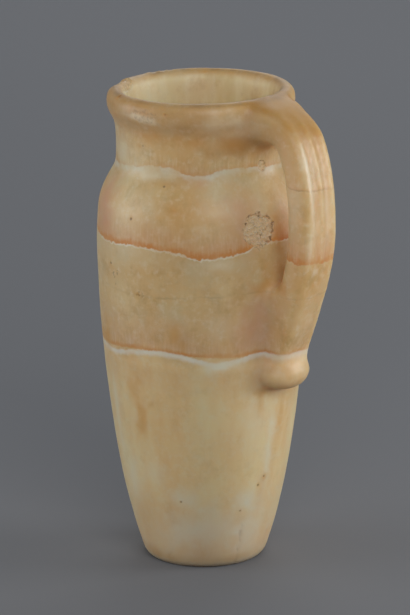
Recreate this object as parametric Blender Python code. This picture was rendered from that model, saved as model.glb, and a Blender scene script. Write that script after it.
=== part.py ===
"""One-handled pitcher carved from a single block of banded alabaster.

The vessel is turned about Z and stands with the middle of its flat foot at the origin. The handle is
a three-ribbed strap in the XZ plane, on the +X side. It springs from the rim and ends in a roll.
"""

import math

import bmesh
import bpy
import numpy as np
from mathutils import Vector
from mathutils.bvhtree import BVHTree

# Overall form, in metres
HEIGHT = 0.2405
RIM_ROLL_HEIGHT = 0.021
NECK_LENGTH = 0.012
SHOULDER_DROP = 0.041
HEEL_HEIGHT = 0.0075
RIM_LIFT = 0.0004

# Radii of the outside, from the foot to the mouth
FOOT_RADIUS = 0.0279
HEEL_RADIUS = 0.0322
SHOULDER_RADIUS = 0.0524
RIM_RADIUS = 0.0464
RIM_OVERHANG = 0.0044
RIM_THICKNESS = 0.0092
NECK_RADIUS = RIM_RADIUS - RIM_OVERHANG
MOUTH_RADIUS = RIM_RADIUS - RIM_THICKNESS

# Thickness of the stone
WALL = 0.0080
NECK_WALL = 0.0062
FLOOR = 0.0140
FLOOR_ROUNDING = 0.0160

# Handle: a strap with three ribs on its back
HANDLE_STANDOFF = 0.0302
HANDLE_REACH = RIM_RADIUS + HANDLE_STANDOFF
HANDLE_WIDTH = 0.0255
HANDLE_THICKNESS = 0.0152
HANDLE_FLARE = 0.0030
HANDLE_ROOT_LENGTH = 0.0432
HANDLE_ROOT_FADE = 0.0100
HANDLE_SQUARENESS = 4.0
RIB_GROOVE_DEPTH = 0.0020
RIB_GROOVE_WIDTH = 0.0040

# Swelling under the rim where the handle springs, as half sizes, and its place
SPRING_DEPTH = 0.0086
SPRING_BREADTH = 0.0180
SPRING_HEIGHT = 0.0085
SPRING_INSET = 0.0093
SPRING_RAISE = 0.0060

# Roll across the lower end of the handle
ROLL_LEVEL = 0.1028
ROLL_STANDOFF = 0.0043
ROLL_RADIUS = 0.0079
ROLL_LENGTH = 0.0290

# Reach of the soft hollows where handle, roll and body run together
FILLET = 0.0070

# Where along the strap its grooves come up and fade, and where its flare ends, as shares
GROOVES_COME = (0.12, 0.32)
GROOVES_FADE = (0.50, 0.75)
GROOVES_LOST = 0.85
FLARE_ENDS = 0.25

# Resolution of the carved surface
TURN_STEPS = 96
SECTION_STEPS = 40
VOXEL = 0.0014
FILLET_PASSES = 100
RUBBING_PASSES = 4
FACE_SHARE = 0.047
FOOT_SPARE = 0.003

# Each pair is a share of the height and a share of the way between two radii
BELLY_CURVE = [
    (0.0, 0.0), (0.08, 0.19), (0.24, 0.473), (0.46, 0.731), (0.71, 0.919), (0.90, 0.985), (1.0, 1.0),
]
SHOULDER_CURVE = [(0.39, 0.90), (0.56, 0.71), (0.71, 0.41), (0.86, 0.07), (1.0, 0.0)]

# Back line of the handle: share of the way out from the body to the reach, share of the rise to the top
HANDLE_BACK = [
    (-0.142, 0.983), (0.019, 0.985), (0.198, 0.971), (0.357, 0.951), (0.537, 0.926), (0.707, 0.885),
    (0.817, 0.831), (0.908, 0.765), (0.974, 0.682), (1.0, 0.59), (0.989, 0.5), (0.931, 0.415),
    (0.829, 0.33), (0.726, 0.26), (0.621, 0.1975), (0.488, 0.133), (0.361, 0.071), (0.31, 0.027),
]


def clear_scene():
    for old in list(bpy.data.objects):
        bpy.data.objects.remove(old, do_unlink=True)


def smooth_line(points, steps):
    """Catmull-Rom curve through 2-D points, with a number of steps for each span."""
    knots = [Vector(p) for p in points]
    knots = [2 * knots[0] - knots[1]] + knots + [2 * knots[-1] - knots[-2]]
    line = []
    for a, b, c, d in zip(knots, knots[1:], knots[2:], knots[3:]):
        for k in range(steps):
            t = k / steps
            line.append(0.5 * (2 * b + (c - a) * t + (2 * a - 5 * b + 4 * c - d) * t * t
                               + (3 * b - a - 3 * c + d) * t ** 3))
    line.append(knots[-2])
    return line


def mix(low, high, share):
    return low + (high - low) * share


def ease(value, start, end):
    """Smooth step from 0 at start to 1 at end."""
    t = min(max((value - start) / (end - start), 0.0), 1.0)
    return t * t * (3 - 2 * t)


def outside_line():
    """Outside from the foot's edge up to the crest of the rim, as (radius, height)."""
    neck_top = HEIGHT - RIM_ROLL_HEIGHT
    neck_foot = neck_top - NECK_LENGTH
    widest = neck_foot - SHOULDER_DROP
    points = [(FOOT_RADIUS, 0.0), (mix(FOOT_RADIUS, HEEL_RADIUS, 0.62), 0.32 * HEEL_HEIGHT)]
    for rise, out in BELLY_CURVE:
        points.append((mix(HEEL_RADIUS, SHOULDER_RADIUS, out), mix(HEEL_HEIGHT, widest, rise)))
    for rise, out in SHOULDER_CURVE:
        points.append((mix(NECK_RADIUS, SHOULDER_RADIUS, out), mix(widest, neck_foot, rise)))
    points.append((NECK_RADIUS, neck_top - 0.2 * NECK_LENGTH))
    roll = RIM_ROLL_HEIGHT
    points.append((mix(NECK_RADIUS, RIM_RADIUS, 0.18), neck_top + 0.24 * roll))
    points.append((mix(NECK_RADIUS, RIM_RADIUS, 0.80), neck_top + 0.48 * roll))
    points.append((RIM_RADIUS, neck_top + 0.72 * roll))
    points.append((mix(MOUTH_RADIUS, RIM_RADIUS, 0.84), neck_top + 0.92 * roll))
    points.append((mix(MOUTH_RADIUS, RIM_RADIUS, 0.48), HEIGHT))
    return smooth_line(points, 4)


def radius_at(line, height):
    """Radius of an upward line at a height."""
    for low, high in zip(line, line[1:]):
        if low.y <= height <= high.y:
            return mix(low.x, high.x, (height - low.y) / max(high.y - low.y, 1e-9))
    return line[-1].x


def inside_line(outside):
    """Hollow from the crest of the rim down to the middle of the floor."""
    neck_top = HEIGHT - RIM_ROLL_HEIGHT
    neck_foot = neck_top - NECK_LENGTH
    bore = NECK_RADIUS - NECK_WALL
    points = [
        (mix(MOUTH_RADIUS, RIM_RADIUS, 0.48), HEIGHT),
        (mix(MOUTH_RADIUS, RIM_RADIUS, 0.16), HEIGHT - 0.10 * RIM_ROLL_HEIGHT),
        (MOUTH_RADIUS, HEIGHT - 0.36 * RIM_ROLL_HEIGHT),
        (bore, neck_top - 0.1 * NECK_LENGTH),
        (bore, neck_foot),
    ]
    top = neck_foot - 0.5 * SHOULDER_DROP
    for share in (0.0, 0.22, 0.44, 0.66, 0.86, 1.0):
        level = mix(top, FLOOR + FLOOR_ROUNDING, share)
        points.append((radius_at(outside, level) - WALL, level))
    edge = radius_at(outside, FLOOR + FLOOR_ROUNDING) - WALL
    points.append((0.82 * edge, FLOOR + 0.24 * FLOOR_ROUNDING))
    points.append((0.45 * edge, FLOOR + 0.03 * FLOOR_ROUNDING))
    points.append((0.0, FLOOR))
    return smooth_line(points, 4)


def new_object(name, bm):
    bmesh.ops.recalc_face_normals(bm, faces=bm.faces)
    mesh = bpy.data.meshes.new(name)
    bm.to_mesh(mesh)
    bm.free()
    thing = bpy.data.objects.new(name, mesh)
    bpy.context.scene.collection.objects.link(thing)
    return thing


def hide_tool(thing):
    """A solid that only takes part in a Boolean."""
    thing.hide_render = True
    thing.display_type = "WIRE"


def make_vessel(outside):
    below = [Vector((FOOT_RADIUS - FOOT_SPARE, -FOOT_SPARE)), Vector((0.0, -FOOT_SPARE))]
    profile = inside_line(outside)[::-1] + outside[-2::-1] + below
    bm = bmesh.new()
    verts = [bm.verts.new((p.x, 0.0, p.y)) for p in profile]
    edges = [bm.edges.new(pair) for pair in zip(verts, verts[1:])]
    bmesh.ops.spin(bm, geom=verts + edges, cent=(0, 0, 0), axis=(0, 0, 1),
                   angle=math.tau, steps=TURN_STEPS, use_merge=True)
    bmesh.ops.remove_doubles(bm, verts=bm.verts, dist=1e-6)
    for vert in bm.verts:
        vert.co.z += RIM_LIFT * vert.co.x / RIM_RADIUS * ease(vert.co.z, 0.8 * HEIGHT, HEIGHT)
    return new_object("pitcher", bm)


def handle_section(width, thickness, groove):
    """Rounded oblong seen along the strap: across, and inward from the back, with two grooves."""
    section = []
    squareness = 2 / HANDLE_SQUARENESS
    for k in range(SECTION_STEPS):
        angle = math.tau * k / SECTION_STEPS
        c, s = math.cos(angle), math.sin(angle)
        across = 0.5 * width * math.copysign(abs(c) ** squareness, c)
        out = 0.5 * thickness * math.copysign(abs(s) ** squareness, s)
        if s > 0:
            for side in (-1, 1):
                away = (across - side * width / 6) / (0.5 * RIB_GROOVE_WIDTH)
                out -= groove * math.exp(-away * away)
        section.append((across, out - 0.5 * thickness))
    return section


def make_handle(outside):
    body = radius_at(outside, ROLL_LEVEL)
    back = []
    for out, rise in HANDLE_BACK:
        back.append((mix(mix(body, RIM_RADIUS, rise), HANDLE_REACH, out), mix(ROLL_LEVEL, HEIGHT, rise)))
    line = smooth_line(back, 3)
    parting = ROLL_LEVEL + HANDLE_ROOT_LENGTH
    bm = bmesh.new()
    rings = []
    for k, point in enumerate(line):
        ahead = line[min(k + 1, len(line) - 1)] - line[max(k - 1, 0)]
        ahead.normalize()
        normal = Vector((-ahead.y, ahead.x))
        share = k / (len(line) - 1)
        kept = 1 - GROOVES_LOST * ease(share, *GROOVES_FADE)
        groove = RIB_GROOVE_DEPTH * ease(share, *GROOVES_COME) * kept
        width = HANDLE_WIDTH + 2 * HANDLE_FLARE * (1 - ease(share, 0.0, FLARE_ENDS))
        rooted = ease(parting - point.y, 0.0, HANDLE_ROOT_FADE)
        to_wall = (point.x - radius_at(outside, point.y) + 0.5 * WALL) / normal.x
        thickness = mix(HANDLE_THICKNESS, to_wall, rooted)
        ring = []
        for across, out in handle_section(width, thickness, groove):
            spot = point + normal * out
            ring.append(bm.verts.new((spot.x, across, spot.y)))
        rings.append(ring)
    for ring, following in zip(rings, rings[1:]):
        for k in range(SECTION_STEPS):
            after = (k + 1) % SECTION_STEPS
            bm.faces.new((ring[k], ring[after], following[after], following[k]))
    bm.faces.new(rings[0])
    bm.faces.new(rings[-1])
    tool = new_object("handle_form", bm)
    hide_tool(tool)
    return tool


def make_roll(outside):
    """Rounded bar across the foot of the handle."""
    out = radius_at(outside, ROLL_LEVEL) + ROLL_STANDOFF
    bm = bmesh.new()
    bmesh.ops.create_uvsphere(bm, u_segments=32, v_segments=16, radius=ROLL_RADIUS)
    stretch = 0.5 * ROLL_LENGTH - ROLL_RADIUS
    for vert in bm.verts:
        side = 0.0 if abs(vert.co.y) < 1e-7 else math.copysign(stretch, vert.co.y)
        vert.co += Vector((out, side, ROLL_LEVEL))
    tool = new_object("roll_form", bm)
    hide_tool(tool)
    return tool


def make_spring():
    """Swelling that carries the rim's roll down into the underside of the handle."""
    bm = bmesh.new()
    bmesh.ops.create_uvsphere(bm, u_segments=32, v_segments=16, radius=1.0)
    bmesh.ops.scale(bm, vec=(SPRING_DEPTH, SPRING_BREADTH, SPRING_HEIGHT), verts=bm.verts)
    out = NECK_RADIUS - NECK_WALL + SPRING_INSET
    level = HEIGHT - RIM_ROLL_HEIGHT + SPRING_RAISE
    bmesh.ops.translate(bm, verts=bm.verts, vec=(out, 0.0, level))
    tool = new_object("spring_form", bm)
    hide_tool(tool)
    return tool


def make_ground():
    """Block that trims the underside to a flat foot at height zero."""
    bm = bmesh.new()
    bmesh.ops.create_cube(bm, size=HEIGHT)
    bmesh.ops.translate(bm, verts=bm.verts, vec=(0, 0, -0.5 * HEIGHT))
    tool = new_object("ground_form", bm)
    hide_tool(tool)
    return tool


def add_boolean(target, tool, operation):
    cut = target.modifiers.new(tool.name, "BOOLEAN")
    cut.operation = operation
    cut.solver = "EXACT"
    cut.use_self = operation == "UNION"
    cut.object = tool


def alabaster():
    stone = bpy.data.materials.new("egyptian_alabaster")
    stone.use_nodes = True
    shader = stone.node_tree.nodes["Principled BSDF"]
    shader.inputs["Base Color"].default_value = (0.62, 0.44, 0.24, 1.0)
    shader.inputs["Roughness"].default_value = 0.42
    shader.inputs["Metallic"].default_value = 0.0
    stone.diffuse_color = (0.62, 0.44, 0.24, 1.0)
    return stone


def surface_of(thing):
    graph = bpy.context.evaluated_depsgraph_get()
    return BVHTree.FromObject(thing, graph)


def hollow_weights(mesh, surfaces):
    """Full where two of the forms meet, fading out within the fillet's reach."""
    gaps = [sorted(surface.find_nearest(vert.co)[3] for surface in surfaces)[1] for vert in mesh.vertices]
    return np.array([1 - ease(gap, 0.35 * FILLET, FILLET) for gap in gaps])


def fill_hollows(mesh, weights):
    """Raise the creases into soft hollows, and wear no ridge down."""
    spots = np.empty((len(mesh.vertices), 3))
    normals = np.empty_like(spots)
    ends = np.empty((len(mesh.edges), 2), dtype=int)
    mesh.vertices.foreach_get("co", spots.ravel())
    mesh.vertices.foreach_get("normal", normals.ravel())
    mesh.edges.foreach_get("vertices", ends.ravel())
    one, other = np.concatenate([ends, ends[:, ::-1]]).T
    neighbours = np.bincount(one, minlength=len(spots))
    for _ in range(FILLET_PASSES):
        total = np.stack([np.bincount(one, spots[other, axis], len(spots)) for axis in range(3)], axis=1)
        rise = ((total / neighbours[:, None] - spots) * normals).sum(axis=1)
        spots += (0.5 * weights * np.maximum(rise, 0.0))[:, None] * normals
    mesh.vertices.foreach_set("co", spots.ravel())
    mesh.update()


def fuse(vessel, forms):
    """One closed skin around the vessel and the forms joined to it."""
    surfaces = [surface_of(thing) for thing in [vessel] + forms]
    for form in forms:
        add_boolean(vessel, form, "UNION")
    skin = vessel.modifiers.new("carved_skin", "REMESH")
    skin.mode = "VOXEL"
    skin.voxel_size = VOXEL
    graph = bpy.context.evaluated_depsgraph_get()
    fused = bpy.data.meshes.new_from_object(vessel.evaluated_get(graph))
    vessel.modifiers.clear()
    vessel.data = fused
    fill_hollows(fused, hollow_weights(fused, surfaces))


def rub_down(thing):
    rub = thing.modifiers.new("rubbed_down", "SMOOTH")
    rub.factor = 0.5
    rub.iterations = RUBBING_PASSES


def main():
    clear_scene()
    outside = outside_line()
    pitcher = make_vessel(outside)
    pitcher.data.materials.append(alabaster())
    fuse(pitcher, [make_handle(outside), make_spring(), make_roll(outside)])
    rub_down(pitcher)
    lighten = pitcher.modifiers.new("fewer_faces", "DECIMATE")
    lighten.ratio = FACE_SHARE
    add_boolean(pitcher, make_ground(), "DIFFERENCE")
    pitcher.data.shade_smooth()


main()
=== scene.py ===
# %% [markdown]
# # A pitcher carved from one block of banded alabaster
#
# The real object is a jug of Egyptian alabaster, which is calcite laid down in thin beds, like a
# stalagmite. One block was bored out, turned on its axis and rubbed down with sand, so that body,
# handle and the small roll under it are one stone. This lesson rebuilds it as one mesh with a
# material that lets light travel some way through the walls.
#
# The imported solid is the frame: it gives the size, the place and the box that nothing may leave.

# %% Load the frame
import math

import bmesh
import bpy
import numpy as np
from mathutils import Matrix, Vector, noise
from mathutils.bvhtree import BVHTree


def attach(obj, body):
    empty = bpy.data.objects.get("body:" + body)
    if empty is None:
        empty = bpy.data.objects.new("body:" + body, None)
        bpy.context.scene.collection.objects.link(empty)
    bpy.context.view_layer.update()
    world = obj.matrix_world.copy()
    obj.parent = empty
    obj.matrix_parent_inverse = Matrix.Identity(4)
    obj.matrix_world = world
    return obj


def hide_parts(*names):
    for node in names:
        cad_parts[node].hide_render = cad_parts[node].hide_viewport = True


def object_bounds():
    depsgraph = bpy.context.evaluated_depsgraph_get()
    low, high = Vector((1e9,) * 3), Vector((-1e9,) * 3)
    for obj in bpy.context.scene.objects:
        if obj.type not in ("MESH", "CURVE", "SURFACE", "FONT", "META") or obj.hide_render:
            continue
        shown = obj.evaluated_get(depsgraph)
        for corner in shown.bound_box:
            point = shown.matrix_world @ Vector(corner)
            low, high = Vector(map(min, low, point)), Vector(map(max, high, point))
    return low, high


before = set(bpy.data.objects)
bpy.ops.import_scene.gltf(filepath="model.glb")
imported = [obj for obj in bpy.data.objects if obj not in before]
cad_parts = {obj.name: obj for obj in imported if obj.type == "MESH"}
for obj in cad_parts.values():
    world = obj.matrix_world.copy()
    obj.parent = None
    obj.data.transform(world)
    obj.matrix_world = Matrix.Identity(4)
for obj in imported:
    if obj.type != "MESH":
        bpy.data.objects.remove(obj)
cad_box = [list(corner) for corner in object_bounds()]
print("CAD box in metres:", [[round(value, 4) for value in corner] for corner in cad_box])

# %% [markdown]
# ## Units and small helpers
#
# The stone's sizes are easier to read in millimetres, so `MM` turns them into metres. `mix` and
# `ease` blend two values in a straight and in a soft way, and `smooth_line` draws an even curve
# through a few chosen points, as a carver follows a template.

# %% Helpers
MM = 0.001


def mix(low, high, share):
    return low + (high - low) * share


def ease(value, start, end):
    """Smooth step from 0 at start to 1 at end, for numbers and arrays."""
    t = np.clip((value - start) / (end - start), 0.0, 1.0)
    return t * t * (3 - 2 * t)


def smooth_line(points, steps):
    """Catmull-Rom curve through points, with a number of steps for each span."""
    knots = [Vector(p) for p in points]
    knots = [2 * knots[0] - knots[1]] + knots + [2 * knots[-1] - knots[-2]]
    line = []
    for a, b, c, d in zip(knots, knots[1:], knots[2:], knots[3:]):
        for k in range(steps):
            t = k / steps
            line.append(0.5 * (2 * b + (c - a) * t + (2 * a - 5 * b + 4 * c - d) * t * t
                               + (3 * b - a - 3 * c + d) * t ** 3))
    line.append(knots[-2])
    return line


def new_object(name, bm):
    bmesh.ops.recalc_face_normals(bm, faces=bm.faces)
    mesh = bpy.data.meshes.new(name)
    bm.to_mesh(mesh)
    bm.free()
    thing = bpy.data.objects.new(name, mesh)
    bpy.context.scene.collection.objects.link(thing)
    return thing


# %% [markdown]
# ## The outside, from foot to rim
#
# Seen from the side the jug is a long tapering belly, a short round shoulder, a straight neck and
# a soft roll for a rim. Because it was turned, one profile says it all. The profile could be a
# dense list of measured points, but a few points at the places where the curve changes are easier
# to carve by, and the smooth line does the rest.

# %% Profile of the outside
CLEARANCE = 0.15 * MM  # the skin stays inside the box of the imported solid
HEIGHT = cad_box[1][2] - CLEARANCE
RIM_ROLL_HEIGHT = 21 * MM
NECK_LENGTH = 12 * MM
SHOULDER_DROP = 41 * MM
HEEL_HEIGHT = 7.5 * MM
FOOT_RADIUS = 27.9 * MM
HEEL_RADIUS = 32.2 * MM
SHOULDER_RADIUS = cad_box[1][1] - CLEARANCE
NECK_RADIUS = 42.0 * MM
RIM_RADIUS = 46.4 * MM
MOUTH_RADIUS = 37.2 * MM

# Each pair: share of the height, share of the way between two radii
BELLY_CURVE = [(0.0, 0.0), (0.08, 0.19), (0.24, 0.473), (0.46, 0.731), (0.71, 0.919), (0.90, 0.985),
               (1.0, 1.0)]
SHOULDER_CURVE = [(0.39, 0.90), (0.56, 0.71), (0.71, 0.41), (0.86, 0.07), (1.0, 0.0)]
RIM_CURVE = [(0.24, 0.18), (0.48, 0.80), (0.72, 1.0)]
CREST = 0.48  # where the rim is highest, as a share of the way from the mouth to its outside

neck_top = HEIGHT - RIM_ROLL_HEIGHT
neck_foot = neck_top - NECK_LENGTH
widest = neck_foot - SHOULDER_DROP


def outside_line():
    """From the foot's edge up to the crest of the rim, as (radius, height)."""
    points = [(FOOT_RADIUS, 0.0), (mix(FOOT_RADIUS, HEEL_RADIUS, 0.62), 0.32 * HEEL_HEIGHT)]
    for rise, out in BELLY_CURVE:
        points.append((mix(HEEL_RADIUS, SHOULDER_RADIUS, out), mix(HEEL_HEIGHT, widest, rise)))
    for rise, out in SHOULDER_CURVE:
        points.append((mix(NECK_RADIUS, SHOULDER_RADIUS, out), mix(widest, neck_foot, rise)))
    points.append((NECK_RADIUS, neck_top - 0.2 * NECK_LENGTH))
    for rise, out in RIM_CURVE:
        points.append((mix(NECK_RADIUS, RIM_RADIUS, out), neck_top + rise * RIM_ROLL_HEIGHT))
    points.append((mix(MOUTH_RADIUS, RIM_RADIUS, 0.84), neck_top + 0.92 * RIM_ROLL_HEIGHT))
    points.append((mix(MOUTH_RADIUS, RIM_RADIUS, CREST), HEIGHT))
    return smooth_line(points, 5)


def radius_at(line, height):
    """Radius of an upward line at a height."""
    for low, high in zip(line, line[1:]):
        if low.y <= height <= high.y:
            return mix(low.x, high.x, (height - low.y) / max(high.y - low.y, 1e-9))
    return line[-1].x


outside = outside_line()
print("outside line:", len(outside), "points, at most", round(max(p.x for p in outside) / MM, 1),
      "mm from the axis")

# %% [markdown]
# ## The hollow
#
# The inside was bored with a drill and sand. Its wall follows the outside at a constant thickness,
# and the floor is thicker, because the last stone at the bottom is the hardest to reach.

# %% Profile of the hollow
WALL = 8.0 * MM
NECK_WALL = 6.2 * MM
FLOOR = 14 * MM
FLOOR_ROUNDING = 16 * MM
WALL_STEPS = (0.0, 0.22, 0.44, 0.66, 0.86, 1.0)  # shares of the way down the wall
# Each pair: share of the radius at the floor's edge, share of the rounding's height
FLOOR_CURVE = [(0.82, 0.24), (0.45, 0.03), (0.0, 0.0)]


def inside_line():
    """From the crest of the rim down to the middle of the floor."""
    bore = NECK_RADIUS - NECK_WALL
    points = [
        (mix(MOUTH_RADIUS, RIM_RADIUS, CREST), HEIGHT),
        (mix(MOUTH_RADIUS, RIM_RADIUS, 0.16), HEIGHT - 0.10 * RIM_ROLL_HEIGHT),
        (MOUTH_RADIUS, HEIGHT - 0.36 * RIM_ROLL_HEIGHT),
        (bore, neck_top - 0.1 * NECK_LENGTH),
        (bore, neck_foot),
    ]
    top = neck_foot - 0.5 * SHOULDER_DROP
    for share in WALL_STEPS:
        level = mix(top, FLOOR + FLOOR_ROUNDING, share)
        points.append((radius_at(outside, level) - WALL, level))
    edge = radius_at(outside, FLOOR + FLOOR_ROUNDING) - WALL
    for out, rise in FLOOR_CURVE:
        points.append((out * edge, FLOOR + rise * FLOOR_ROUNDING))
    return smooth_line(points, 5)


inside = inside_line()
print("hollow:", len(inside), "points down to a floor", round(FLOOR / MM), "mm thick")

# %% [markdown]
# ## Turning the vessel
#
# Spinning the closed profile about the axis is what the lathe did. The profile runs a little below
# the ground, so that the foot can be ground flat at the end.

# %% Turned vessel
TURN_STEPS = 128
RIM_LIFT = 0.4 * MM
FOOT_SPARE = 3 * MM


def make_vessel():
    below = [Vector((FOOT_RADIUS - FOOT_SPARE, -FOOT_SPARE)), Vector((0.0, -FOOT_SPARE))]
    profile = inside[::-1] + outside[-2::-1] + below
    bm = bmesh.new()
    verts = [bm.verts.new((p.x, 0.0, p.y)) for p in profile]
    edges = [bm.edges.new(pair) for pair in zip(verts, verts[1:])]
    bmesh.ops.spin(bm, geom=verts + edges, cent=(0, 0, 0), axis=(0, 0, 1),
                   angle=math.tau, steps=TURN_STEPS, use_merge=True)
    bmesh.ops.remove_doubles(bm, verts=bm.verts, dist=0.001 * MM)
    for vert in bm.verts:
        vert.co.z += RIM_LIFT * vert.co.x / RIM_RADIUS * ease(vert.co.z, 0.8 * HEIGHT, HEIGHT)
    return new_object("alabaster_pitcher", bm)


vessel = make_vessel()
print("turned vessel:", len(vessel.data.polygons), "faces")

# %% [markdown]
# ## The handle
#
# The handle is a strap with three soft ribs along its back. It springs level from the rim, bends
# over like a shoulder and comes down close to the belly. Sections are set square to its back line
# and joined, which is how a smith would describe a bar, and it keeps the ribs parallel.

# %% Strap handle
ROLL_LEVEL = 102.8 * MM
HANDLE_SPARE = 0.25 * MM  # rubbing the skin smooth takes this off again
HANDLE_REACH = cad_box[1][0] + HANDLE_SPARE
HANDLE_WIDTH = 25.5 * MM
HANDLE_THICKNESS = 15.2 * MM
HANDLE_FLARE = 4.2 * MM
HANDLE_PARTING = 146 * MM
HANDLE_ROOT_FADE = 10 * MM
HANDLE_SQUARENESS = 4.0
RIB_GROOVE_DEPTH = 2.4 * MM
RIB_GROOVE_WIDTH = 4.8 * MM
# Shares of the way down the handle where the flare ends, and where the ribs rise and fade
FLARE_END = 0.25
RIBS_RISE = (0.12, 0.32)
RIBS_FADE = (0.5, 0.75)
RIBS_LOST = 0.85
SECTION_STEPS = 64

# Share of the way out from rim to reach, share of the rise from roll to top
HANDLE_BACK = [
    (-0.14, 0.983), (0.02, 0.985), (0.20, 0.971), (0.36, 0.951), (0.54, 0.926), (0.71, 0.885),
    (0.82, 0.831), (0.91, 0.765), (0.975, 0.682), (1.0, 0.590), (0.99, 0.500), (0.935, 0.415),
    (0.84, 0.330), (0.745, 0.260), (0.65, 0.1975), (0.53, 0.133), (0.418, 0.071), (0.374, 0.027),
]


def handle_section(width, thickness, groove):
    """Rounded oblong across the strap, with two grooves in its back."""
    section = []
    squareness = 2 / HANDLE_SQUARENESS
    for k in range(SECTION_STEPS):
        angle = math.tau * k / SECTION_STEPS
        c, s = math.cos(angle), math.sin(angle)
        across = 0.5 * width * math.copysign(abs(c) ** squareness, c)
        out = 0.5 * thickness * math.copysign(abs(s) ** squareness, s)
        if s > 0:
            for side in (-1, 1):
                away = (across - side * width / 6) / (0.5 * RIB_GROOVE_WIDTH)
                out -= groove * math.exp(-away * away)
        section.append((across, out - 0.5 * thickness))
    return section


def make_handle():
    back = [(mix(RIM_RADIUS, HANDLE_REACH, out), mix(ROLL_LEVEL, HEIGHT, rise))
            for out, rise in HANDLE_BACK]
    line = smooth_line(back, 5)
    bm = bmesh.new()
    rings = []
    for k, point in enumerate(line):
        ahead = line[min(k + 1, len(line) - 1)] - line[max(k - 1, 0)]
        ahead.normalize()
        normal = Vector((-ahead.y, ahead.x))
        share = k / (len(line) - 1)
        groove = RIB_GROOVE_DEPTH * ease(share, *RIBS_RISE) * (1 - RIBS_LOST * ease(share, *RIBS_FADE))
        width = HANDLE_WIDTH + 2 * HANDLE_FLARE * (1 - ease(share, 0.0, FLARE_END))
        rooted = ease(HANDLE_PARTING - point.y, 0.0, HANDLE_ROOT_FADE)
        to_wall = (point.x - radius_at(outside, point.y) + 0.5 * WALL) / normal.x
        thickness = mix(HANDLE_THICKNESS, to_wall, rooted)
        ring = []
        for across, out in handle_section(width, thickness, groove):
            spot = point + normal * out
            ring.append(bm.verts.new((spot.x, across, spot.y)))
        rings.append(ring)
    for ring, following in zip(rings, rings[1:]):
        for k in range(SECTION_STEPS):
            after = (k + 1) % SECTION_STEPS
            bm.faces.new((ring[k], ring[after], following[after], following[k]))
    bm.faces.new(rings[0])
    bm.faces.new(rings[-1])
    return new_object("handle_form", bm)


handle_form = make_handle()
print("handle:", len(handle_form.data.polygons), "faces, reach", round(HANDLE_REACH / MM, 1), "mm")

# %% [markdown]
# ## The spring and the roll
#
# Where the handle leaves the rim the carver left a swelling of stone, and across its foot a small
# roll, which copies the rivet of a metal jug. Both are simple stretched balls here: what shows of
# them is only the part that stands out of the other forms. The roll's ends bend back round the belly.

# %% Spring and roll
SPRING_SIZE = Vector((8.6, 15.0, 8.5)) * MM
ROLL_SIZE = Vector((7.9, 16.5, 7.9)) * MM
ROLL_OFFSET = 53.8 * MM
ROLL_BEND = 0.5 / ROLL_OFFSET  # as on a circle round the axis
# The middle of the spring, out from the bore and up from the neck, as shares of its half sizes
SPRING_OUT = 1.08
SPRING_UP = 0.7


def stretched_ball(name, size, middle, bend=0.0):
    """Ball with three half sizes, whose ends are bent back towards the axis."""
    bm = bmesh.new()
    bmesh.ops.create_uvsphere(bm, u_segments=48, v_segments=24, radius=1.0)
    bmesh.ops.scale(bm, vec=size, verts=bm.verts)
    for vert in bm.verts:
        vert.co += Vector(middle) - Vector((bend * vert.co.y ** 2, 0.0, 0.0))
    return new_object(name, bm)


bore_radius = NECK_RADIUS - NECK_WALL
spring_middle = (bore_radius + SPRING_OUT * SPRING_SIZE.x, 0.0, neck_top + SPRING_UP * SPRING_SIZE.z)
spring = stretched_ball("spring_form", SPRING_SIZE, spring_middle)
roll = stretched_ball("roll_form", ROLL_SIZE, (ROLL_OFFSET, 0.0, ROLL_LEVEL), ROLL_BEND)
forms = [handle_form, spring, roll]
print("forms to join:", [form.name for form in forms])

# %% [markdown]
# ## One stone
#
# The forms are joined with exact Booleans and given one even skin by a voxel remesh. Where two
# forms meet there is still a crease, which no abrasive would leave. So the creases are filled:
# each point there moves outward towards the average of its neighbours, and never inward, which
# makes a soft hollow and keeps every ridge.

# %% One skin with soft hollows
VOXEL = 1.7 * MM
FILLET = 7 * MM
# Finer voxels need more passes for hollows of the same width
FILLET_PASSES = round(100 * (1.4 * MM / VOXEL) ** 2)
RUBBING_PASSES = 4
STEP = 0.5  # share of the way to the neighbours' mean that a point moves in one pass


def surface_of(thing):
    return BVHTree.FromObject(thing, bpy.context.evaluated_depsgraph_get())


def read_points(mesh, what):
    values = np.empty((len(mesh.vertices), 3))
    mesh.vertices.foreach_get(what, values.ravel())
    return values


def write_points(mesh, spots):
    mesh.vertices.foreach_set("co", spots.ravel())
    mesh.update()


def neighbour_mean(mesh):
    """Function that gives each point the mean of the points next to it."""
    ends = np.empty((len(mesh.edges), 2), dtype=int)
    mesh.edges.foreach_get("vertices", ends.ravel())
    one, other = np.concatenate([ends, ends[:, ::-1]]).T
    count = len(mesh.vertices)
    neighbours = np.bincount(one, minlength=count)[:, None]

    def mean(spots):
        totals = [np.bincount(one, spots[other, axis], count) for axis in range(3)]
        return np.stack(totals, axis=1) / neighbours

    return mean


def fill_hollows(mesh, surfaces):
    """Fills the creases, which are the points close to two surfaces, and then rubs the whole skin."""
    gaps = [sorted(surface.find_nearest(vert.co)[3] for surface in surfaces)[1] for vert in mesh.vertices]
    weights = 1 - ease(np.array(gaps), 0.35 * FILLET, FILLET)
    spots, normals = read_points(mesh, "co"), read_points(mesh, "normal")
    mean = neighbour_mean(mesh)
    for _ in range(FILLET_PASSES):
        rise = ((mean(spots) - spots) * normals).sum(axis=1)
        spots += (STEP * weights * np.maximum(rise, 0.0))[:, None] * normals
    for _ in range(RUBBING_PASSES):
        spots += STEP * (mean(spots) - spots)
    write_points(mesh, spots)


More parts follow.
